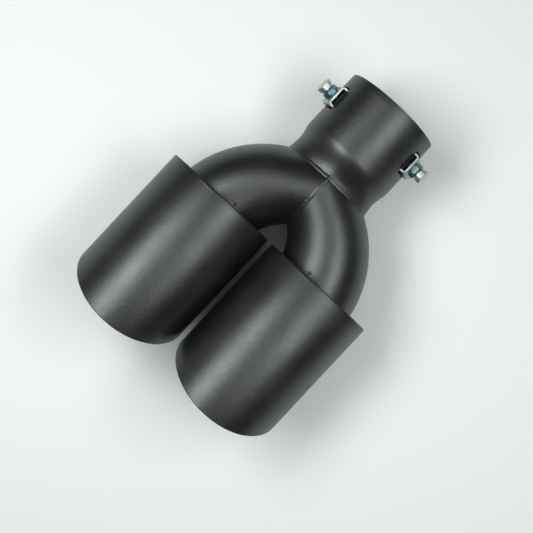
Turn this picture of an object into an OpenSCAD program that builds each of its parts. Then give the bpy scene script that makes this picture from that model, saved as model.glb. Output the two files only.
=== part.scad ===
// Twin exhaust tip: two slash-cut double-wall tips on a welded twin elbow, with an
// inlet collar that grips the tailpipe by two screws in sheet-metal clips.
// +Y points to the tailpipe, +Z up. The origin is the centre of the inlet mouth.

/* [Tips] */
// Outside diameter of a tip
tip_d = 89; // [80:1:96]
// Gap between the two tips
tip_gap = 3.6; // [2:0.1:20]
// Length of a tip along its side, at the height of its axis
tip_side_len = 93.4; // [85:1:130]
// Angle of the slash cut from square, with the top longest
slash_angle = 26.5; // [0:0.5:32]
// Sheet of the outer shell
shell_wall = 1.5; // [1:0.1:2.5]
// Depth of the hem that closes the front edge between shell and sleeve
hem_depth = 2; // [1:0.1:4]
// Gap between outer shell and inner sleeve
wall_gap = 1.6; // [1:0.1:4]
// Sheet of the inner sleeve
sleeve_wall = 1.2; // [0.8:0.1:2]
// Length of the sleeve's seat on the pipe
sleeve_seat_len = 9; // [5:0.5:12]
// Length of the sleeve's flare from the pipe's size to the mouth's size
sleeve_flare_len = 22; // [12:1:30]
// How far the back plate lies inside the shell's back edge
plate_inset = 2.5; // [1:0.1:6]
// Thickness of the back plate
plate_t = 1.5; // [1:0.1:3]
// Leg of the weld fillet between back plate and pipe
tip_bead = 1.9; // [1:0.1:2.4]

/* [Twin elbow] */
// Outside diameter of the pipe at a tip
pipe_d = 63.5; // [55:0.5:65]
// Wall of the pipe
pipe_wall = 1.5; // [1:0.1:2.5]
// How far the pipe's end reaches into the tip
stub_len = 31; // [26:1:36]
// How far inside the tip the bend starts
bend_start = 14.1; // [8:0.1:18]
// Angle through which the pipe is bent before it runs on straight to the mitre
bend_turn = 60; // [50:1:65]
// Radius of the bend's inside
bend_inner_r = 40.9; // [30:0.1:45]
// Radius of the bend's outside
bend_outer_r = 83.7; // [75:0.1:95]

/* [Inlet collar] */
// Bore of the collar
inlet_bore_d = 71; // [68:0.5:74]
// Wall of the collar
collar_wall = 1.5; // [1:0.1:2.5]
// Distance from the inlet mouth to the tips' back edge
inlet_to_tips = 126.7; // [120:0.5:160]
// Length of the round part of the collar
collar_round_len = 45.5; // [38:0.5:50]
// Distance from the tips' back edge to the weld of the neck
neck_weld_back = 58.6; // [56:0.2:62]
// How much the neck's sides draw in between collar and weld
neck_waist = 1.3; // [0:0.1:3]
// Radius of the weld bead round the neck
neck_bead = 1; // [0.6:0.1:2.2]

/* [Clips] */
// Distance from the inlet mouth to the clips
clip_back = 21.2; // [19:0.1:28]
// Angle of the clips above the horizontal
clip_angle = 15; // [0:1:30]
// Length of a clip along the collar
clip_len = 16; // [15:0.5:18]
// Width of a clip round the collar
clip_w = 20; // [14:0.5:22]
// Sheet of a clip
clip_t = 1.2; // [1:0.1:1.6]
// Gap between the collar and the clip's base
clip_gap = 1.8; // [1.5:0.1:4]
// Inside radius of the clip's bends
clip_bend_r = 1.4; // [0.8:0.1:1.8]
// Width of the slots in the collar for a clip's legs
slot_w = 3.2; // [2.6:0.1:4]
// Play of a clip's legs in their slots, across the collar
slot_play = 0.5; // [0.3:0.1:1]
// Width of the slot that frees the upper edge of the tongue
tongue_slot_w = 1.8; // [1:0.1:3]

/* [Screws] */
// Thread diameter of the clamp screws
screw_d = 6; // [5:0.5:8]
// Length of a screw's shank
screw_len = 10; // [8:1:20]
// Size of the hexagon across its flats
hex_af = 10; // [8:0.5:12]
// Height of a screw head
head_h = 4; // [3:0.1:6]
// Height of a nut
nut_h = 4.2; // [3:0.1:6]
// Gap left between nut and head
head_gap = 1.4; // [0.4:0.1:4]
// Radial clearance of the screw in its nut
thread_clear = 0.05; // [0.02:0.01:0.09]
// Radial clearance of the screw in the clip
clip_hole_clear = 0.4; // [0.2:0.1:1]
// Radial clearance of the screw in the collar's wall
wall_hole_clear = 1.2; // [0.5:0.1:2]

/* [Hidden] */
$fn = 96;

coat = [0.09, 0.09, 0.095];
inner_coat = [0.05, 0.05, 0.05];
zinc = [0.72, 0.76, 0.77];

// Radial play between pieces that are slipped together and then welded
slip = 0.15;
big = 400;

tip_r = tip_d / 2;
tip_x = (tip_d + tip_gap) / 2;
tip_back_y = -inlet_to_tips;
shell_in_r = tip_r - shell_wall;
sleeve_r = shell_in_r - wall_gap;
pipe_r = pipe_d / 2;
seat_r = pipe_r + slip;
seat_out_r = seat_r + sleeve_wall;
seat_start = stub_len - sleeve_seat_len;
flare_end = stub_len + sleeve_flare_len;
top_len = tip_side_len + tip_r * tan(slash_angle);

elbow_around = 48;
bend_steps = 9;
neck_around = 72;
neck_steps = 8;

collar_in_r = inlet_bore_d / 2;
collar_r = collar_in_r + collar_wall;
neck_y = tip_back_y + neck_weld_back;
neck_len = -collar_round_len - neck_y;
// How far the neck's facets start inside the round wall, and how deep they lie in it
neck_root_len = 1;
neck_skin = 0.05;
// Height of the weld bead at the elbows, as a share of its height at the middle
bead_shoulder = 0.75;

clip_in = collar_r + clip_gap;
clip_out = clip_in + clip_t;
// How far a side of the pipe has moved to the middle at a depth inside the tip
function pipe_shift(radius, depth) = radius - sqrt(pow(radius, 2) - pow(bend_start - depth, 2));
plate_hole_out = pipe_r - pipe_shift(bend_outer_r, plate_inset + plate_t);
plate_hole_in = pipe_r + pipe_shift(bend_inner_r, plate_inset - tip_bead);
plate_hole_r = (plate_hole_out + plate_hole_in) / 2 + slip;
plate_hole_shift = (plate_hole_in - plate_hole_out) / 2;

// How far the pipe runs on straight, to clear the middle plane
straight_run = 1 - bend_outside(bend_turn)[0] / sin(bend_turn);
// The flat cut for the neck, across the straight pipe, measured in plan
cut_start = bend_inside(bend_turn)[0] + tan(bend_turn) * (neck_y - bend_inside(bend_turn)[1]);
cut_span = bend_inside(bend_turn)[0] - bend_outside(bend_turn)[0]
    + tan(bend_turn) * (bend_outside(bend_turn)[1] - bend_inside(bend_turn)[1]);
neck_half_w = cut_span - cut_start;

// A height inside the bore that the clip's legs run down to before they are trimmed
leg_root = sqrt(pow(collar_in_r, 2) - pow(clip_w / 2, 2)) - 1;
slot_end = clip_len / 2 + (slot_w - clip_t) - slip;
slot_half = clip_w / 2 + slot_play;
screw_r = screw_d / 2;
hex_r = hex_af / 2 / cos(30);
head_seat = clip_out + nut_h + head_gap;
tip_chamfer = 0.8;

// A closed solid from a loop of rings, each a list of the same number of points
module ring_loop(rings) {
    n = len(rings[0]);
    m = len(rings);
    polyhedron(
        points = [for (r = rings) for (p = r) p],
        faces = [for (k = [0:m - 1]) for (j = [0:n - 1])
            let (k2 = (k + 1) % m, j2 = (j + 1) % n)
            each [[k * n + j, k * n + j2, k2 * n + j2],
                  [k * n + j, k2 * n + j2, k2 * n + j]]],
        convexity = 6);
}

function reverse(list) = [for (i = [len(list) - 1:-1:0]) list[i]];

// An upright oval ring of n points, its level half axis along dir
function oval(centre, dir, half_w, half_h, n) =
    [for (j = [0:n - 1]) let (a = 360 * j / n)
        centre + dir * half_w * cos(a) + [0, 0, half_h * sin(a)]];

// A solid tube of round section along -Y, from y on
module tube_y(y, length, r_out, r_in) {
    translate([0, y, 0]) rotate([90, 0, 0]) difference() {
        cylinder(r = r_out, h = length);
        translate([0, 0, -1]) cylinder(r = r_in, h = length + 2);
    }
}

// Everything in front of the slash cut, moved back by the given depth
module in_front_of_slash(depth = 0) {
    translate([0, tip_back_y - tip_side_len, 0]) rotate([slash_angle, 0, 0])
        translate([-big / 2, depth - big, -big / 2]) cube(big);
}

module at_tip(side) {
    translate([side * tip_x, 0, 0]) children();
}

// Outer shell: rolled tube with a square back edge, a slash-cut front and a hem turned
// in along the cut
module tip_shell(side) {
    color(coat) at_tip(side) difference() {
        union() {
            tube_y(tip_back_y, top_len, tip_r, shell_in_r);
            intersection() {
                tube_y(tip_back_y, top_len, tip_r - slip, sleeve_r + slip);
                in_front_of_slash(hem_depth);
            }
        }
        in_front_of_slash();
    }
}

// Inner sleeve: seats on the pipe's end, flares, and runs on to the slash cut
module inner_sleeve(side) {
    y_len = top_len + 1;
    color(inner_coat) at_tip(side) difference() {
        translate([0, tip_back_y, 0]) rotate([90, 0, 0]) rotate_extrude() polygon([
            [seat_r, seat_start], [seat_out_r, seat_start], [seat_out_r, stub_len],
            [sleeve_r, flare_end], [sleeve_r, y_len], [sleeve_r - sleeve_wall, y_len],
            [sleeve_r - sleeve_wall, flare_end], [seat_r, stub_len]]);
        in_front_of_slash();
    }
}

// A point of the left pipe's bend in plan at angle a, from where it starts and its radius
function bend_point(a, start_x, radius) =
    [start_x + radius * (1 - cos(a)), tip_back_y - bend_start + radius * sin(a), 0];
function bend_inside(a) = bend_point(a, pipe_r - tip_x, bend_inner_r);
function bend_outside(a) = bend_point(a, -pipe_r - tip_x, bend_outer_r);

// One ring of the left pipe: bent by angle a, run on straight, and grown
function pipe_ring(a, run, grow) =
    let (across = bend_outside(a) - bend_inside(a), half = norm(across) / 2)
    oval(bend_inside(a) + across / 2 + run * [sin(a), cos(a), 0], across / norm(across),
        half + grow, pipe_r + grow, elbow_around);

// All rings of the left pipe, from its end in the tip to past the middle plane
function pipe_rings(grow) = concat(
    [oval([-tip_x, tip_back_y - stub_len, 0], [-1, 0, 0], pipe_r + grow, pipe_r + grow,
        elbow_around)],
    [for (i = [0:bend_steps]) pipe_ring(bend_turn * i / bend_steps, 0, grow)],
    [pipe_ring(bend_turn, straight_run, grow)]);

// Back plate: ring let into the shell's back end, with a hole that clears the bent pipe
// and the weld fillet round it
module back_plate(side) {
    color(coat) at_tip(side) translate([0, tip_back_y - plate_inset, 0]) rotate([90, 0, 0])
        difference() {
            union() {
                cylinder(r = shell_in_r - slip, h = plate_t);
                translate([-side * plate_hole_shift, 0, -tip_bead])
                    cylinder(r1 = plate_hole_r + slip, r2 = plate_hole_r + tip_bead,
                        h = tip_bead + plate_t / 2);
            }
            translate([-side * plate_hole_shift, 0, -2 * tip_bead])
                cylinder(r = plate_hole_r, h = 4 * tip_bead + plate_t);
        }
}

// Elbow: bent pipe, cut at the mitre on the middle plane and cut flat for the neck
module elbow(side) {
    color(coat) mirror([side > 0 ? 1 : 0, 0, 0]) difference() {
        ring_loop(concat(pipe_rings(0), reverse(pipe_rings(-pipe_wall))));
        translate([0, -big / 2, -big / 2]) cube(big);
        translate([-big / 2, neck_y, -big / 2]) cube(big);
    }
}

// Where the flat cut for the neck meets the straight pipe: the share of the way from its
// inside to its outside at distance x from the middle plane, and the height there
function cut_share(x) = (cut_start + x) / cut_span;
function cut_height(x) = pipe_r * sqrt(max(0, 1 - pow(2 * cut_share(x) - 1, 2)));

// One ring of the neck: s runs from the round collar, 0, to the weld, 1
function neck_ring(s, grow) =
    let (blend = (1 - cos(180 * s)) / 2)
    [for (j = [0:neck_around - 1])
        let (a = 360 * j / neck_around,
             x = (collar_r + (neck_half_w - collar_r) * blend
                 - neck_waist * pow(sin(180 * s), 2)) * cos(a),
             weld_z = sign(sin(a)) * cut_height(neck_half_w * abs(cos(a))),
             z = collar_r * sin(a) * (1 - blend) + weld_z * blend,
             reach = norm([x, z]))
        [-x * (1 + grow / reach), -collar_round_len - neck_len * s, z * (1 + grow / reach)]];

// The ring where the neck starts inside the collar's round wall, so that the two fuse
function neck_root(grow) =
    oval([0, neck_root_len - collar_round_len, 0], [-1, 0, 0], collar_r + grow,
        collar_r + grow, neck_around);

// Neck: drawn from the round collar to the oval of the elbows' back, with its weld bead
module neck() {
    bead_s = neck_bead / neck_len;
    outer_grow = -neck_skin;
    inner_grow = 2 * neck_skin - collar_wall;
    body_rings = [for (i = [0:neck_steps]) (1 - 2 * bead_s) * i / neck_steps];
    outer = concat(
        [neck_root(outer_grow)],
        [for (s = body_rings) neck_ring(s, outer_grow)],
        [for (a = [45, 90]) neck_ring(1 - bead_s * (1 + cos(a)), neck_bead * sin(a))],
        [neck_ring(1, neck_bead * bead_shoulder)]);
    inner = concat(
        [neck_root(inner_grow)],
        [for (s = body_rings) neck_ring(s, inner_grow)],
        [neck_ring(1, inner_grow)]);
    ring_loop(concat(outer, reverse(inner)));
}

// Moves a clip's own frame, +Z out of the collar and Y along it, to its place
module at_clip(side) {
    translate([0, -clip_back, 0]) rotate([0, side * (90 - clip_angle), 0]) children();
}

// The slots for a clip's legs, the slot over the tongue, and the screw's hole
module clip_cutout() {
    depth = collar_r - collar_in_r * cos(asin(slot_half / collar_in_r)) + 2;
    translate([0, 0, collar_r + 1 - depth]) linear_extrude(depth) {
        for (end = [-1, 1])
            translate([-slot_half, end > 0 ? slot_end - slot_w : -slot_end])
                square([2 * slot_half, slot_w]);
        translate([-slot_half, -slot_end]) square([tongue_slot_w, 2 * slot_end]);
    }
    translate([0, 0, collar_in_r - 2])
        cylinder(r = screw_r + wall_hole_clear, h = collar_wall + 4);
}

// Inlet collar: formed from one tube, round at the mouth and oval at the weld
module inlet_collar() {
    color(coat) union() {
        difference() {
            tube_y(0, collar_round_len, collar_r, collar_in_r);
            for (side = [-1, 1]) at_clip(side) mirror([side > 0 ? 0 : 1, 0, 0]) clip_cutout();
        }
        neck();
    }
}

// A bar standing on the legs' root line, with rounded upper corners
module arch(width, top, corner_r) {
    translate([-width / 2, leg_root]) square([width, top - corner_r - leg_root]);
    translate([-width / 2 + corner_r, leg_root])
        square([width - 2 * corner_r, top - leg_root]);
    for (end = [-1, 1])
        translate([end * (width / 2 - corner_r), top - corner_r]) circle(corner_r, $fn = 48);
}

// Outline of a clip seen along the collar's circumference: base, bends and legs
module clip_outline() {
    difference() {
        arch(clip_len, clip_out, clip_bend_r + clip_t);
        translate([0, -clip_t]) arch(clip_len - 2 * clip_t, clip_out, clip_bend_r);
    }
}

// Clip: zinc-plated strip folded to a bridge, its legs set through the collar's slots
// and trimmed flush with the bore
module clip(side) {
    color(zinc) at_clip(side) difference() {
        rotate([90, 0, 90]) translate([0, 0, -clip_w / 2]) linear_extrude(clip_w) clip_outline();
        rotate([90, 0, 0]) cylinder(r = collar_in_r + slip, h = 2 * clip_len, center = true);
        translate([0, 0, clip_in - 1]) cylinder(r = screw_r + clip_hole_clear, h = clip_t + 2);
    }
}

// A hexagonal prism with its top, or both its ends, turned to a cone, as on heads and nuts
module hex_prism(height, chamfered_foot) {
    cone_h = (hex_r - hex_af / 2) * tan(30);
    intersection() {
        cylinder(r = hex_r, h = height, $fn = 6);
        rotate_extrude() polygon([
            [0, 0], [chamfered_foot ? hex_af / 2 : hex_r, 0],
            [hex_r, chamfered_foot ? cone_h : 0],
            [hex_r, height - cone_h], [hex_af / 2, height], [0, height]]);
    }
}

// Weld nut on the clip's base
module clip_nut(side) {
    color(zinc) at_clip(side) translate([0, 0, clip_out]) difference() {
        hex_prism(nut_h, true);
        translate([0, 0, -1]) cylinder(r = screw_r + thread_clear, h = nut_h + 2);
    }
}

// Hex-head clamp screw, its shank through nut and clip into the collar's wall
module clamp_screw(side) {
    color(zinc) at_clip(side) translate([0, 0, head_seat]) {
        hex_prism(head_h, false);
        rotate([180, 0, 0]) rotate_extrude() polygon([
            [0, -1], [screw_r, -1], [screw_r, screw_len - tip_chamfer],
            [screw_r - tip_chamfer, screw_len], [0, screw_len]]);
    }
}

tip_shell(-1);  // left_tip_shell
tip_shell(1);  // right_tip_shell
inner_sleeve(-1);  // left_inner_sleeve
inner_sleeve(1);  // right_inner_sleeve
back_plate(-1);  // left_back_plate
back_plate(1);  // right_back_plate
elbow(-1);  // left_elbow
elbow(1);  // right_elbow
inlet_collar();
clip(-1);  // left_clip
clip(1);  // right_clip
clip_nut(-1);  // left_clip_nut
clip_nut(1);  // right_clip_nut
clamp_screw(-1);  // left_clamp_screw
clamp_screw(1);  // right_clamp_screw
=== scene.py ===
# Twin exhaust tip: two slash-cut double-wall tips on a welded twin elbow, and an inlet
# collar with a sheet-metal clip and a clamp screw on each side.
from math import cos, pi, radians, sin, sqrt, tan

import bmesh
import bpy
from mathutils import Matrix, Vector, noise


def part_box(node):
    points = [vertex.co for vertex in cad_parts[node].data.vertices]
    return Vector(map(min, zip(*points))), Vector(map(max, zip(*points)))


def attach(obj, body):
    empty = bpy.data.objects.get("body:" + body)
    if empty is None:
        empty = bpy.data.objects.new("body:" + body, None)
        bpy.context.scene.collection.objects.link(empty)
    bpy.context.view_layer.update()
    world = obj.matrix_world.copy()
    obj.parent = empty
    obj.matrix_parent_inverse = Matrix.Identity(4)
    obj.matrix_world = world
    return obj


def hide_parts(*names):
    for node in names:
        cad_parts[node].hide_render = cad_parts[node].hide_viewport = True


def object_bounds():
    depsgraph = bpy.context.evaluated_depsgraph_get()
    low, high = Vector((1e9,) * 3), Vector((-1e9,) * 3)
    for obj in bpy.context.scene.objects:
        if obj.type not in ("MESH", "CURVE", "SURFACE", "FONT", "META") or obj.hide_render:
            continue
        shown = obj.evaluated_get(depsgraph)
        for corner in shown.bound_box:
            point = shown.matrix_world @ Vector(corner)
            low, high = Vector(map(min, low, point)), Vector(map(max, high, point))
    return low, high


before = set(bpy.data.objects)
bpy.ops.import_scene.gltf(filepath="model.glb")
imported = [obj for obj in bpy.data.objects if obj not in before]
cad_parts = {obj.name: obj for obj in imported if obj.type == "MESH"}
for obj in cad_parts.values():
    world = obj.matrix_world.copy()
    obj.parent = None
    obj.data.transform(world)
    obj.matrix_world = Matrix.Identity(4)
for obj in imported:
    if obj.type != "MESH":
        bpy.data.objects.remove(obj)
cad_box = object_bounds()

# Viewpoint and ground: the tip lies on a pale table under a camera that looks straight
# down, turned so that the outlets point to the lower left. Neither is part of the tip.
photo_side = 533
focal_px = 1256
camera_place = (0.0099, -0.1408, 0.887)
camera_turn = 43.0
table_tint = (0.82, 0.86, 0.85, 1)
table_size = 12

lens = bpy.data.cameras.new("camera_over_table")
lens.sensor_width = 36
lens.lens = focal_px / photo_side * lens.sensor_width
camera = bpy.data.objects.new("camera_over_table", lens)
camera.location = camera_place
camera.rotation_euler = (0, 0, radians(camera_turn))
bpy.context.scene.collection.objects.link(camera)
bpy.context.scene.camera = camera
bpy.context.scene.view_settings.view_transform = "Standard"


class Tone:
    """One output in a finish's node tree; arithmetic on it adds Math nodes."""

    def __init__(self, tree, socket=None):
        self.tree = tree
        self.socket = socket

    def node(self, kind, setup, sockets, output=0):
        """Adds any node: first its settings, then the values or links of its sockets."""
        made = self.tree.nodes.new("ShaderNode" + kind)
        for name, value in setup.items():
            setattr(made, name, value)
        for name, value in sockets.items():
            if isinstance(value, Tone):
                self.tree.links.new(value.socket, made.inputs[name])
            else:
                made.inputs[name].default_value = value
        return Tone(self.tree, made.outputs[output] if made.outputs else None)

    def math(self, operation, first, second):
        return self.node("Math", {"operation": operation}, {0: first, 1: second})

    def __add__(self, other):
        return self.math("ADD", self, other)

    __radd__ = __add__

    def __mul__(self, other):
        return self.math("MULTIPLY", self, other)

    __rmul__ = __mul__

    def spread(self, low, high):
        """Runs from 0 to 1 while this value goes from low to high."""
        return self.node("MapRange", {"interpolation_type": "SMOOTHSTEP"},
                         {"Value": self, "From Min": low, "From Max": high})

    def blend(self, first, second):
        """A colour between two, with this value as the share of the second."""
        return self.node("Mix", {"data_type": "RGBA"},
                         {"Factor": self, 6: first, 7: second}, output=2)


def finish_of(name):
    """A new empty finish: its material, and the first Tone to build its nodes from."""
    material = bpy.data.materials.new(name)
    material.use_nodes = True
    material.node_tree.nodes.clear()
    return material, Tone(material.node_tree)


def close_finish(nodes, shader):
    nodes.node("OutputMaterial", {}, {"Surface": shader})


usual_crease = 35


def piece_of(name, mesh, material, slot=None, replaces=None, body="tip_assembly",
             crease=usual_crease):
    """A new piece from a bmesh with its finish. With a slot it rides on its body; the node it
    replaces is hidden.
    """
    data = bpy.data.meshes.new(name)
    bmesh.ops.recalc_face_normals(mesh, faces=mesh.faces)
    for face in mesh.faces:
        face.smooth = True
    mesh.to_mesh(data)
    mesh.free()
    data.set_sharp_from_angle(angle=radians(crease))
    piece = bpy.data.objects.new(name, data)
    data.materials.append(material)
    bpy.context.scene.collection.objects.link(piece)
    if slot:
        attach(piece, body)
    if replaces:
        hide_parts(replaces)
    return piece


table_finish, nodes = finish_of("table")
close_finish(nodes, nodes.node("BsdfPrincipled", {}, {
    "Base Color": table_tint, "Roughness": 0.9, "Specular IOR Level": 0.1}))
sheet = bmesh.new()
bmesh.ops.create_grid(sheet, x_segments=1, y_segments=1, size=table_size)
table = piece_of("table", sheet, table_finish)
table.location = (0, 0, cad_box[0].z)

# Light: two long softboxes above the picture's left and right, a wide soft one above the
# camera, and a dim pale room. The left one is the brightest.
softboxes = {
    "softbox_left": {"aside": -0.36, "ahead": 0.15, "height": 0.66, "length": 0.50,
                     "width": 0.30, "power": 4.5},
    "softbox_right": {"aside": 0.39, "ahead": -0.10, "height": 0.66, "length": 0.60,
                      "width": 0.24, "power": 2.9},
    "softbox_above": {"aside": 0, "ahead": 0, "height": 1.5, "length": 1.1,
                      "width": 1.1, "power": 3.2}}
picture_right = Vector((cos(radians(camera_turn)), sin(radians(camera_turn)), 0))
picture_top = Vector((-sin(radians(camera_turn)), cos(radians(camera_turn)), 0))
aimed_at = Vector((0, -0.14, 0))
for name, softbox in softboxes.items():
    light = bpy.data.lights.new(name, "AREA")
    light.shape = "RECTANGLE"
    light.size = softbox["length"]
    light.size_y = softbox["width"]
    light.energy = softbox["power"]
    lamp = bpy.data.objects.new(name, light)
    lamp.location = (aimed_at + softbox["aside"] * picture_right
                     + softbox["ahead"] * picture_top + Vector((0, 0, softbox["height"])))
    lamp.rotation_euler = (aimed_at - lamp.location).to_track_quat("-Z", "Y").to_euler()
    lamp.visible_camera = False
    bpy.context.scene.collection.objects.link(lamp)

room = bpy.data.worlds.new("pale_room")
room.use_nodes = True
room.node_tree.nodes.clear()
nodes = Tone(room.node_tree)
nodes.node("OutputWorld", {}, {"Surface": nodes.node(
    "Background", {}, {"Color": (0.95, 1, 1, 1), "Strength": 0.06})})
bpy.context.scene.world = room

# Twin elbow: two pipes bent inward and cut at a mitre on the middle plane, where they
# are welded together. The weld's low bead and spatter are black-coated with the rest.
pipe_r = 0.03175
pipe_wall = 0.0015
tip_x = (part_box("right_tip_shell")[0].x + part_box("right_tip_shell")[1].x) / 2
tip_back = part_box("right_tip_shell")[1].y
stub_len = 0.031
bend_start = 0.0141
bend_turn = radians(60)
bend_inner_r = 0.0409
bend_outer_r = 0.0837
neck_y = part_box("right_elbow")[1].y
pipe_around = 192
bend_steps = 40
past_middle = 0.001


def skin_of(rings, looped=True):
    """A closed skin over rings of as many points each: the last ring joins the first, or
    else both ends are capped."""
    mesh = bmesh.new()
    grid = [[mesh.verts.new(point) for point in ring] for ring in rings]
    around = len(grid[0])
    for k, ring in enumerate(grid if looped else grid[:-1]):
        following = grid[(k + 1) % len(grid)]
        for j in range(around):
            j2 = (j + 1) % around
            mesh.faces.new((ring[j], ring[j2], following[j2], following[j]))
    if not looped:
        mesh.faces.new(grid[0])
        mesh.faces.new(grid[-1])
    return mesh


def oval(centre, sideways, half_w, half_h, points):
    """An upright oval ring; its level half axis lies along the sideways direction."""
    return [centre + sideways * (half_w * cos(2 * pi * j / points))
            + Vector((0, 0, half_h * sin(2 * pi * j / points))) for j in range(points)]


def bend_point(turn, start_x, radius):
    """A point of the right pipe's bend in plan, from where it starts and its radius."""
    return Vector((start_x - radius * (1 - cos(turn)),
                   tip_back - bend_start + radius * sin(turn), 0))


def bend_inside(turn):
    return bend_point(turn, tip_x - pipe_r, bend_inner_r)


def bend_outside(turn):
    return bend_point(turn, tip_x + pipe_r, bend_outer_r)


def pipe_ring(turn, run, grow):
    """One ring of the right pipe: bent by an angle, run on straight, and grown."""
    across = bend_outside(turn) - bend_inside(turn)
    half = across.length / 2
    ahead = Vector((-sin(turn), cos(turn), 0))
    return oval(bend_inside(turn) + across / 2 + run * ahead, across.normalized(),
                half + grow, pipe_r + grow, pipe_around)


straight_run = past_middle + bend_outside(bend_turn).x / sin(bend_turn)


def pipe_rings(grow):
    """All rings of the right pipe, from its end in the tip to past the middle plane."""
    end_ring = oval(Vector((tip_x, tip_back - stub_len, 0)), Vector((1, 0, 0)),
                    pipe_r + grow, pipe_r + grow, pipe_around)
    bent = [pipe_ring(bend_turn * k / bend_steps, 0, grow) for k in range(bend_steps + 1)]
    return [end_ring] + bent + [pipe_ring(bend_turn, straight_run, grow)]


def powder_coat(name, tint, orange_peel=1.0):
    """Matt powder coat: baked polyester with a fine orange peel and faint cloudiness."""
    material, nodes = finish_of(name)
    place = nodes.node("TexCoord", {}, {}, output="Object")
    cloud = nodes.node("TexNoise", {}, {"Vector": place, "Scale": 28, "Detail": 3,
                                        "Roughness": 0.55})
    grain = nodes.node("TexNoise", {}, {"Vector": place, "Scale": 1300, "Detail": 3,
                                        "Roughness": 0.6})
    peel = nodes.node("TexNoise", {}, {"Vector": place, "Scale": 420, "Detail": 2})
    speck = nodes.node("TexVoronoi", {}, {"Vector": place, "Scale": 700})
    paler = tuple(channel * 1.5 + 0.002 for channel in tint) + (1,)
    darker = tuple(channel * 0.75 for channel in tint) + (1,)
    colour = (0.6 * cloud + 0.4 * grain).spread(0.3, 0.7).blend(darker, paler)
    rough = 0.34 + 0.06 * cloud.spread(0.35, 0.65) + 0.08 * grain.spread(0.3, 0.7)
    height = 0.25 * peel + 0.55 * grain + 0.2 * speck
    bump = nodes.node("Bump", {}, {"Height": height, "Strength": 0.6 * orange_peel,
                                   "Distance": 0.00026})
    close_finish(nodes, nodes.node("BsdfPrincipled", {}, {
        "Base Color": colour, "Roughness": rough, "Normal": bump,
        "Specular IOR Level": 0.9, "Specular Tint": (0.93, 1, 0.97, 1)}))
    return material


coat_black = powder_coat("coat_black", (0.0016, 0.0023, 0.0021))
for side, name in ((-1, "left_elbow"), (1, "right_elbow")):
    bend = skin_of(pipe_rings(0) + pipe_rings(-pipe_wall)[::-1])
    for cut_at, cut_toward in (((0, 0, 0), (-1, 0, 0)), ((0, neck_y, 0), (0, 1, 0))):
        bmesh.ops.bisect_plane(bend, geom=bend.verts[:] + bend.edges[:] + bend.faces[:],
                               plane_co=cut_at, plane_no=cut_toward, clear_outer=True)
    open_edges = [edge for edge in bend.edges if edge.is_boundary]
    bmesh.ops.holes_fill(bend, edges=open_edges, sides=0)
    if side < 0:
        bmesh.ops.scale(bend, vec=(-1, 1, 1), verts=bend.verts)
    piece_of(name + "_pipe", bend, coat_black, "black_coat", name)


def even_steps(points, step, looped=True):
    """The same path with its points at even steps."""
    points = points + points[:1] if looped else points
    runs = [0]
    for here, there in zip(points, points[1:]):
        runs.append(runs[-1] + (there - here).length)
    count = round(runs[-1] / step)
    path = []
    k = 0
    for i in range(count if looped else count + 1):
        run = runs[-1] * i / count
        while k < len(points) - 2 and runs[k + 1] < run:
            k += 1
        path.append(points[k].lerp(points[k + 1], (run - runs[k]) / (runs[k + 1] - runs[k])))
    return path


bead_steps = 7
bead_foot = 0.0004
bead_foot_share = 0.8
ripple_bow = 1.8
ripple_depth = 0.22
wander_scale = 160
wander_in_w = 0.12
wander_in_height = 0.15


def weld_bead(points, lean, half_w, height, pitch, looped=True):
    """A rippled bead along a path. lean gives the outward and the sideways direction at a
    point, how much the sheets under the bead rise to its sides, and the bead's share of
    its full size."""
    rings = []
    for i, point in enumerate(even_steps(points, pitch / bead_steps, looped)):
        outward, sideways, rise, full = lean(point)
        wander = noise.noise(point * wander_scale)
        ring = []
        for turn in range(0, 181, 20):
            reach = half_w * full * (1 + wander_in_w * wander) * cos(radians(turn))
            bow = ripple_bow * cos(radians(turn)) ** 2
            crest = (1 + sin(2 * pi * i / bead_steps + bow)) / 2
            ripple = 1 - ripple_depth * (1 - crest) + wander_in_height * wander
            tall = height * full * ripple * sin(radians(turn)) ** 3
            ring.append(point + reach * sideways + (tall + rise * abs(reach)) * outward)
        for reach in (-half_w * full, half_w * full):
            ring.append(point + bead_foot_share * reach * sideways - bead_foot * outward)
        rings.append(ring)
    return skin_of(rings, looped)


across_mitre = (bend_outside(bend_turn) - bend_inside(bend_turn)).normalized()
half_mitre = (bend_outside(bend_turn) - bend_inside(bend_turn)).length / 2
middle_mitre = (bend_outside(bend_turn) + bend_inside(bend_turn)) / 2
mitre_y = middle_mitre.y + middle_mitre.x / tan(bend_turn)
mitre_half = half_mitre * (across_mitre.y + across_mitre.x / tan(bend_turn))
mitre_points = 720
low_bead = 0.55
fuller_near_neck = 0.018


def mitre_lean(point):
    outward = Vector((0, (point.y - mitre_y) / mitre_half ** 2, point.z / pipe_r ** 2))
    outward.normalize()
    near_neck = max(0, 1 - (neck_y - point.y) / fuller_near_neck) if point.z > 0 else 0
    full = low_bead + (1 - low_bead) * near_neck
    return outward, Vector((1, 0, 0)), -outward.y / tan(bend_turn), full


def pipe_top(x, y):
    """Height of the elbows' top near the mitre."""
    off = (Vector((abs(x), y, 0)) - middle_mitre).dot(across_mitre) / half_mitre
    return pipe_r * sqrt(1 - off ** 2)


mitre = oval(Vector((0, mitre_y, 0)), Vector((0, 1, 0)), mitre_half, pipe_r, mitre_points)
first_in = next(j for j in range(mitre_points)
                if mitre[j].y > neck_y >= mitre[(j + 1) % mitre_points].y)
mitre = [point for point in mitre[first_in + 1:] + mitre[:first_in + 1] if point.y < neck_y]
mitre_weld = weld_bead(mitre, mitre_lean, half_w=0.0024, height=0.0008, pitch=0.0015,
                       looped=False)
drop_form = (0.7, 1.3, 0.9)
drop_lift = 0.0001
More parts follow.
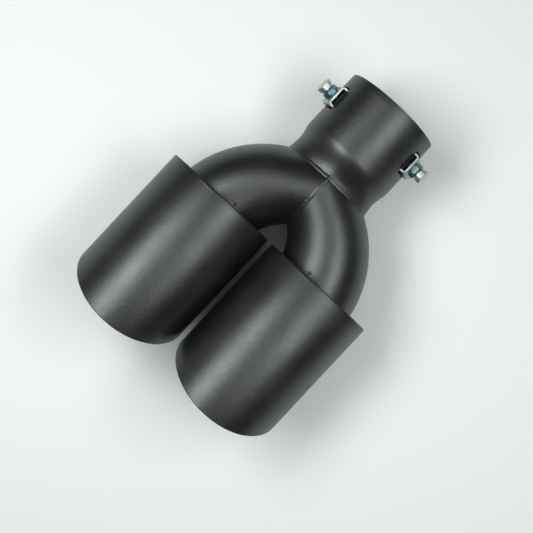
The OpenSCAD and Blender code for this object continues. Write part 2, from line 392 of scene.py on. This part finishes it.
# Each drop of spatter beside the weld: its place on the elbows' top and its radius.
spatter = ((-0.0009, -0.0861, 0.0018), (-0.0013, -0.0898, 0.0015), (0.0014, -0.0880, 0.0009),
           (0.0026, -0.0846, 0.0004), (-0.0034, -0.0850, 0.0004), (0.0031, -0.0912, 0.0003),
           (-0.0052, -0.0870, 0.0003), (0.0026, -0.0795, 0.0004))
for x, y, radius in spatter:
    drop = bmesh.ops.create_icosphere(mitre_weld, subdivisions=3, radius=radius)["verts"]
    bmesh.ops.scale(mitre_weld, verts=drop, vec=drop_form)
    bmesh.ops.translate(mitre_weld, verts=drop, vec=(x, y, pipe_top(x, y) + drop_lift))
piece_of("mitre_weld", mitre_weld, coat_black, "black_coat")

# Inlet collar: one tube, round at the mouth and drawn to a flat oval at the weld to the
# elbows. Slots and a hole are punched for each clip. Black-coated after the welding.
collar_in_r = 0.0355
collar_wall = 0.0015
collar_r = collar_in_r + collar_wall
collar_round_len = 0.0455
neck_len = -collar_round_len - neck_y
neck_waist = 0.0013
neck_steps = 30
valley_round = 0.03
valley_round_more = 0.30
tube_around = 256
mouth_round = 0.0003
mouth_steps = 8
cut_start = -bend_inside(bend_turn).x + tan(bend_turn) * (neck_y - bend_inside(bend_turn).y)
cut_span = (bend_outside(bend_turn).x - bend_inside(bend_turn).x
            + tan(bend_turn) * (bend_outside(bend_turn).y - bend_inside(bend_turn).y))
neck_half_w = cut_span - cut_start


def cut_height(x):
    """Height of the elbows' flat cut at a distance from the middle plane."""
    return pipe_r * sqrt(max(0, 1 - (2 * (cut_start + x) / cut_span - 1) ** 2))


def neck_ring(share, grow):
    """One ring of the neck, from the round collar, 0, to the weld, 1."""
    blend = (1 - cos(pi * share)) / 2
    ring = []
    for j in range(tube_around):
        turn = 2 * pi * j / tube_around
        x = (collar_r + (neck_half_w - collar_r) * blend
             - neck_waist * sin(pi * share) ** 2) * cos(turn)
        valley = (valley_round + valley_round_more * (1 - share)) * sin(turn)
        softened = sqrt(cos(turn) ** 2 + valley ** 2)
        weld_z = cut_height(neck_half_w * softened) * (1 if sin(turn) >= 0 else -1)
        z = collar_r * sin(turn) * (1 - blend) + weld_z * blend
        longer = 1 + grow / sqrt(x ** 2 + z ** 2)
        ring.append(Vector((x * longer, -collar_round_len - neck_len * share, z * longer)))
    return ring


def round_ring(y, radius):
    return oval(Vector((0, y, 0)), Vector((1, 0, 0)), radius, radius, tube_around)


def collar_rings(radius, outward, grow):
    """One face of the collar, from its mouth, rounded outward, 1, or inward, -1, to the
    weld."""
    rings = []
    for turn in (radians(90), radians(60), radians(30), 0):
        rings.append(round_ring(-mouth_round * (1 - sin(turn)),
                                radius - outward * mouth_round * (1 - cos(turn))))
    rings += [round_ring(-collar_round_len * k / mouth_steps, radius)
              for k in range(1, mouth_steps)]
    return rings + [neck_ring(k / neck_steps, grow) for k in range(neck_steps + 1)]


collar = skin_of(collar_rings(collar_r, 1, 0) + collar_rings(collar_in_r, -1, -collar_wall)[::-1])
collar_piece = piece_of("inlet_collar_tube", collar, coat_black, "black_coat", "inlet_collar")

clip_back = 0.0212
clip_angle = 15
clip_len = 0.016
clip_w = 0.020
clip_t = 0.0012
slot_w = 0.0032
slot_half = clip_w / 2 + 0.0005
slot_end = clip_len / 2 + (slot_w - clip_t) - 0.00015
tongue_slot_w = 0.0018
tongue_slot_end = slot_end - 0.001
punch_low = collar_r - 0.0035
punch_high = collar_r + 0.001
screw_r = 0.003
wall_hole_r = screw_r + 0.0012
wall_punch_len = 0.008


def place_at_clip(mesh, side):
    """Moves a clip's own frame, up out of the collar, to its place on that side."""
    for vertex in mesh.verts:
        x, y, z = vertex.co
        tilt = radians(clip_angle)
        across = -x * sin(tilt) + z * cos(tilt)
        vertex.co = (side * across, y - clip_back, x * cos(tilt) + z * sin(tilt))
    bmesh.ops.recalc_face_normals(mesh, faces=mesh.faces)


def block_punch(low, high):
    """A square punch, from one corner of its outline on the clip to the other."""
    mesh = bmesh.new()
    low = (*low, punch_low)
    high = (*high, punch_high)
    for vertex in bmesh.ops.create_cube(mesh, size=1)["verts"]:
        vertex.co = [(low[k] + high[k]) / 2 + vertex.co[k] * (high[k] - low[k])
                     for k in range(3)]
    return mesh


def round_punch(radius, depth, height, points):
    """A round punch or drill along the clip's screw, its middle at a height."""
    mesh = bmesh.new()
    bmesh.ops.create_cone(mesh, cap_ends=True, segments=points, radius1=radius,
                          radius2=radius, depth=depth)
    bmesh.ops.translate(mesh, verts=mesh.verts, vec=(0, 0, height))
    return mesh


def cut_out(piece, mesh):
    """Punches or drills a shape out of a piece."""
    cutter = piece_of("cutter", mesh, piece.data.materials[0])
    cutting = piece.modifiers.new("cut", "BOOLEAN")
    cutting.operation = "DIFFERENCE"
    cutting.solver = "EXACT"
    cutting.object = cutter
    with bpy.context.temp_override(object=piece, active_object=piece):
        bpy.ops.object.modifier_apply(modifier=cutting.name)
    bpy.data.objects.remove(cutter)


for side in (-1, 1):
    for punch in (block_punch((-slot_half, slot_end - slot_w), (slot_half, slot_end)),
                  block_punch((-slot_half, -slot_end), (slot_half, slot_w - slot_end)),
                  block_punch((slot_half - tongue_slot_w, -tongue_slot_end),
                              (slot_half, tongue_slot_end)),
                  round_punch(wall_hole_r, wall_punch_len, collar_in_r, points=64)):
        place_at_clip(punch, side)
        cut_out(collar_piece, punch)
collar_piece.data.set_sharp_from_angle(angle=radians(usual_crease))


def neck_lean(point):
    full = max(low_bead, abs(point.z) / pipe_r)
    return Vector((point.x, 0, point.z)).normalized(), Vector((0, 1, 0)), 0, full


neck_weld = weld_bead(neck_ring(1, 0), neck_lean, half_w=0.0025, height=0.0006, pitch=0.0018)
piece_of("neck_weld", neck_weld, coat_black, "black_coat")

# Tip shells: the outer tube of each tip, rolled and welded, its back edge cut square and
# its front slash-cut and folded round to the inner sleeve. Black-coated.
tip_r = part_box("right_tip_shell")[1].z
shell_wall = 0.0015
wall_gap = 0.0016
slash = radians(26.5)
side_len = 0.0934
fold_r = 0.0011
shell_in_r = tip_r - shell_wall
sleeve_r = shell_in_r - wall_gap
hem_depth = 0.002
hem_gap = 0.00015
seam_low = 0.0004
seam_more = 0.0017


def tip_ring(radius, depth, side, mirrored=1):
    """A round ring of the tip, square to its axis, at a depth from the back edge."""
    return oval(Vector((side * tip_x, tip_back - depth, 0)), Vector((mirrored, 0, 0)),
                radius, radius, tube_around)


def slash_ring(radius, setback, side):
    """A ring of the tip, parallel to the slash cut and set back from it."""
    return [point + Vector((0, setback - point.z * tan(slash), 0))
            for point in tip_ring(radius, side_len, side)]


def back_ring(radius, depth, seam, side):
    """A ring near the back edge, at a depth in it; where seam is 1 it follows the seam."""
    ring = []
    for point in tip_ring(radius, depth, side):
        seam_depth = seam_low + seam_more * max(0, point.z / radius) ** 1.5
        ring.append(point - Vector((0, seam * seam_depth, 0)))
    return ring


# The back edge's profile: radius, depth, and 1 where it follows the seam.
back_edge = ((tip_r - 0.0005, 0, 0), (tip_r - 0.00035, 0.00006, 0), (tip_r - 0.0002, 0.0002, 0),
             (tip_r - 0.00008, 0.00025, 1), (tip_r - 0.00035, 0.0003, 1),
             (tip_r - 0.00035, 0.00038, 1), (tip_r - 0.00005, 0.00045, 1),
             (tip_r, 0.0006, 1))
for side, name in ((-1, "left_tip_shell"), (1, "right_tip_shell")):
    fold = [(tip_r - fold_r * (1 - cos(radians(turn))), fold_r * (1 - sin(radians(turn))))
            for turn in range(0, 91, 15)]
    rings = [back_ring(radius, depth, seam, side) for radius, depth, seam in back_edge]
    rings += [slash_ring(radius, setback, side) for radius, setback in fold]
    rings.append(slash_ring(sleeve_r + hem_gap, 0, side))
    rings.append(slash_ring(sleeve_r + hem_gap, hem_depth, side))
    rings.append(slash_ring(shell_in_r, hem_depth, side))
    rings.append(tip_ring(shell_in_r, 0, side))
    shell = skin_of(rings)
    piece_of(name + "_sheet", shell, coat_black, "black_coat", name, crease=50)

# Inner sleeves: one flared tube in each tip, slipped over the pipe's end and welded to the
# folded front. Their matt black coat is a little paler and smoother than outside.
sleeve_wall = 0.0012
seat_len = 0.009
flare_len = 0.022
flare_steps = 16
seat_gap = 0.00015
coat_inside = powder_coat("coat_inside", (0.006, 0.006, 0.006), orange_peel=0.8)
for side, name in ((-1, "left_inner_sleeve"), (1, "right_inner_sleeve")):
    walls = []
    for wall in (sleeve_wall, 0):
        seat_r = pipe_r + seat_gap + wall
        mouth_r = sleeve_r - sleeve_wall + wall
        wall_rings = [tip_ring(seat_r, stub_len - seat_len, side)]
        for k in range(flare_steps + 1):
            swell = (1 - cos(pi * k / flare_steps)) / 2
            wall_rings.append(tip_ring(seat_r + (mouth_r - seat_r) * swell,
                                       stub_len + flare_len * k / flare_steps, side))
        wall_rings.append(slash_ring(mouth_r, 0, side))
        walls.append(wall_rings)
    sleeve = skin_of(walls[0] + walls[1][::-1])
    piece_of(name + "_tube", sleeve, coat_inside, "inner_black", name)

# Back plates: a pressed ring closes each tip at the back and is welded to the bent pipe
# with a fillet all round. Two tacks on each pipe held it in place for the weld.
plate_inset = 0.0025
plate_t = 0.0015
plate_gap = 0.0001
fillet_out = 0.0004
fillet_hollow = 0.0015
tack_r = 0.0012
tack_form = (1, 1, 0.7)
# Each tack: degrees round the pipe, and how far behind the tip's back edge.
tack_places = ((107, 0.0026), (251, 0.0024))


def pipe_outline(depth, grow, side, points=tube_around):
    """The bent pipe's outline on a plane at a depth inside the tip."""
    outline = []
    for j in range(points):
        turn = 2 * pi * j / points
        radius = ((1 - cos(turn)) * bend_inner_r + (1 + cos(turn)) * bend_outer_r) / 2
        level = (bend_start - depth) / radius
        x = tip_x + (pipe_r + grow) * cos(turn) - radius * (1 - sqrt(1 - level ** 2))
        outline.append(Vector((side * x, tip_back - depth, (pipe_r + grow) * sin(turn))))
    return outline


def fillet_lean(side):
    """The lean of the fillet round one side's pipe."""
    def lean(point):
        aside = Vector((point.x - side * (tip_x - fillet_hollow), 0, point.z)).normalized()
        back = Vector((0, 1, 0))
        return (aside + back).normalized(), (aside - back).normalized(), 0, 1

    return lean


for side, name in ((-1, "left_back_plate"), (1, "right_back_plate")):
    plate_back = plate_inset + plate_t
    plate = skin_of([tip_ring(shell_in_r - plate_gap, plate_back, side, mirrored=side),
                     tip_ring(shell_in_r - plate_gap, plate_inset, side, mirrored=side),
                     pipe_outline(plate_inset, plate_gap, side),
                     pipe_outline(plate_back, plate_gap, side)])
    piece_of(name + "_ring", plate, coat_black, "black_coat", name)
    fillet = weld_bead(pipe_outline(plate_inset - fillet_out, fillet_out, side),
                       fillet_lean(side), half_w=0.0013, height=0.0007, pitch=0.0018)
    for degree, behind in tack_places:
        spot = pipe_outline(-behind, fillet_out, side, 360)[degree]
        tack = bmesh.ops.create_icosphere(fillet, subdivisions=4, radius=tack_r)["verts"]
        bmesh.ops.scale(fillet, verts=tack, vec=tack_form)
        bmesh.ops.translate(fillet, verts=tack, vec=spot)
    piece_of(name.replace("back_plate", "tip_weld"), fillet, coat_black, "black_coat")

# Clips: a strip of sheet steel folded to a bridge, its two legs set through the collar's
# slots and trimmed flush with the bore. Bright zinc plate with a blue-green passivation.
clip_in = collar_r + 0.0018
clip_out = clip_in + clip_t
clip_bend_r = 0.0014
clip_hole_r = screw_r + 0.0004
clip_steps = 24
bend_below = clip_in - 0.0008
trim_r = collar_in_r + 0.00015
drill_len = 0.004
deburr_w = 0.00018


def zinc_plate(name, tint, passivation):
    """Zinc plate: a soft bright metal with cloudy blue-green tints and fine scratches."""
    material, nodes = finish_of(name)
    place = nodes.node("TexCoord", {}, {}, output="Object")
    cloud = nodes.node("TexNoise", {}, {"Vector": place, "Scale": 160, "Detail": 4})
    grain = nodes.node("TexNoise", {}, {"Vector": place, "Scale": 1400, "Detail": 3})
    drawn = nodes.node("VectorMath", {"operation": "MULTIPLY"}, {0: place, 1: (1, 0.08, 1)})
    scratch = nodes.node("TexNoise", {}, {"Vector": drawn, "Scale": 2600, "Detail": 2})
    colour = cloud.spread(0.40, 0.68).blend(tint + (1,), passivation + (1,))
    rough = 0.42 + 0.14 * cloud.spread(0.3, 0.7) + 0.08 * grain.spread(0.35, 0.65)
    bump = nodes.node("Bump", {}, {"Height": 0.5 * grain + 0.5 * scratch, "Strength": 0.35,
                                   "Distance": 0.00008})
    close_finish(nodes, nodes.node("BsdfPrincipled", {}, {
        "Base Color": colour, "Roughness": rough, "Metallic": 1.0, "Normal": bump}))
    return material


zinc_strip = zinc_plate("zinc_strip", (0.42, 0.46, 0.46), (0.28, 0.37, 0.37))
for side, name in ((-1, "left_clip"), (1, "right_clip")):
    sections = []
    for k in range(clip_steps + 1):
        x = clip_w * (k / clip_steps - 0.5)
        trim = sqrt(trim_r ** 2 - x ** 2)
        section = []
        for round_r, half in ((clip_bend_r + clip_t, clip_len / 2),
                              (clip_bend_r, clip_len / 2 - clip_t)):
            top = clip_out - (clip_len / 2 - half)
            face = [(-half, trim), (-half, bend_below)]
            face += [(-half + round_r * (1 - cos(radians(turn))),
                      top - round_r * (1 - sin(radians(turn)))) for turn in range(0, 91, 10)]
            face += [(-y, z) for y, z in face[::-1]]
            section.append(face)
        outline = section[0] + section[1][::-1]
        sections.append([Vector((x, y, z)) for y, z in outline])
    strip = skin_of(sections, looped=False)
    place_at_clip(strip, side)
    clip = piece_of(name + "_strip", strip, zinc_strip, "zinc", name)
    drill = round_punch(clip_hole_r, drill_len, clip_out, points=96)
    place_at_clip(drill, side)
    cut_out(clip, drill)
    soften = clip.modifiers.new("deburred", "BEVEL")
    soften.width = deburr_w
    soften.segments = 2
    soften.limit_method = "ANGLE"
    soften.angle_limit = radians(50)

# Weld nuts: a plain hexagon nut welded on each clip's base. Same plating as the clips,
# with more of the blue-green.
hex_flat = 0.005
nut_h = 0.0042
nut_bore_r = screw_r + 0.00005
nut_thread_r = screw_r + 0.0003
nut_around = 144
nut_steps_a_turn = 8
corner_sharpness = 70
tooth_slope = 3.2
tooth_root = 0.3
cone_r = 0.97 * hex_flat
cone_slope = tan(radians(30))
cone_steps = [0.0001 * k for k in range(5)]
thread_pitch = 0.001


def hex_ring(height, from_end):
    """A ring of a hexagon whose end, at a distance, is turned to a cone."""
    ring = []
    for j in range(nut_around):
        turn = 2 * pi * j / nut_around
        share = sum(max(0, cos(turn - radians(60 * k))) ** corner_sharpness
                    for k in range(6)) ** (1 / corner_sharpness)
        radius = min(hex_flat / share, cone_r + from_end / cone_slope)
        ring.append(Vector((radius * cos(turn), radius * sin(turn), height)))
    return ring


def thread_ring(height, major_r, minor_r, tip=1.0):
    """A ring of a screw thread; tip brings it down to a smaller radius."""
    ring = []
    for j in range(nut_around):
        turn = 2 * pi * j / nut_around
        phase = (height / thread_pitch - turn / (2 * pi)) % 1
        tooth = min(1, max(0, tooth_slope * abs(phase - 0.5) - tooth_root))
        radius = min(minor_r + (major_r - minor_r) * tooth, tip)
        ring.append(Vector((radius * cos(turn), radius * sin(turn), height)))
    return ring


zinc_nut = zinc_plate("zinc_nut", (0.20, 0.34, 0.34), (0.05, 0.16, 0.17))
for side, name in ((-1, "left_clip_nut"), (1, "right_clip_nut")):
    outside = [hex_ring(clip_out + step, step) for step in cone_steps]
    outside += [hex_ring(clip_out + nut_h - step, step) for step in cone_steps[::-1]]
    steps = round(nut_h / thread_pitch * nut_steps_a_turn)
    inside = [thread_ring(clip_out + nut_h * k / steps, nut_thread_r, nut_bore_r)
              for k in range(steps + 1)]
    nut = skin_of(outside + inside[::-1])
    place_at_clip(nut, side)
    piece_of(name + "_hexagon", nut, zinc_nut, "zinc", name, crease=25)

# Clamp screws: hexagon-head set screws, M6, whose points press on the tailpipe. Bright
# zinc plate, paler than the nuts. They turn in the nuts and so move in and out.
screw_len = 0.010
head_h = 0.004
head_gap = 0.0014
head_seat = clip_out + nut_h + head_gap
head_top_r = 0.0043
head_edge = 0.0001
point_chamfer = 0.0008
thread_root_r = 0.0025
screw_steps_a_turn = 9
zinc_screw = zinc_plate("zinc_screw", (0.60, 0.63, 0.61), (0.42, 0.50, 0.48))
for side, name in ((-1, "left_clamp_screw"), (1, "right_clamp_screw")):
    steps = round(screw_len / thread_pitch * screw_steps_a_turn)
    rings = [thread_ring(head_seat - screw_len + screw_len * k / steps, screw_r, thread_root_r,
                         screw_r - point_chamfer + screw_len * k / steps)
             for k in range(steps)]
    rings.append(hex_ring(head_seat, head_edge))
    rings += [hex_ring(head_seat + head_h - step, step) for step in cone_steps[::-1]]
    flat_top = []
    for point in rings[-1]:
        inward = head_top_r / sqrt(point.x ** 2 + point.y ** 2)
        flat_top.append(Vector((point.x * inward, point.y * inward, head_seat + head_h)))
    rings.append(flat_top)
    screw = skin_of(rings, looped=False)
    place_at_clip(screw, side)
    piece_of(name + "_bolt", screw, zinc_screw, "zinc", name,
             name.replace("clamp_screw", "screw"), crease=25)
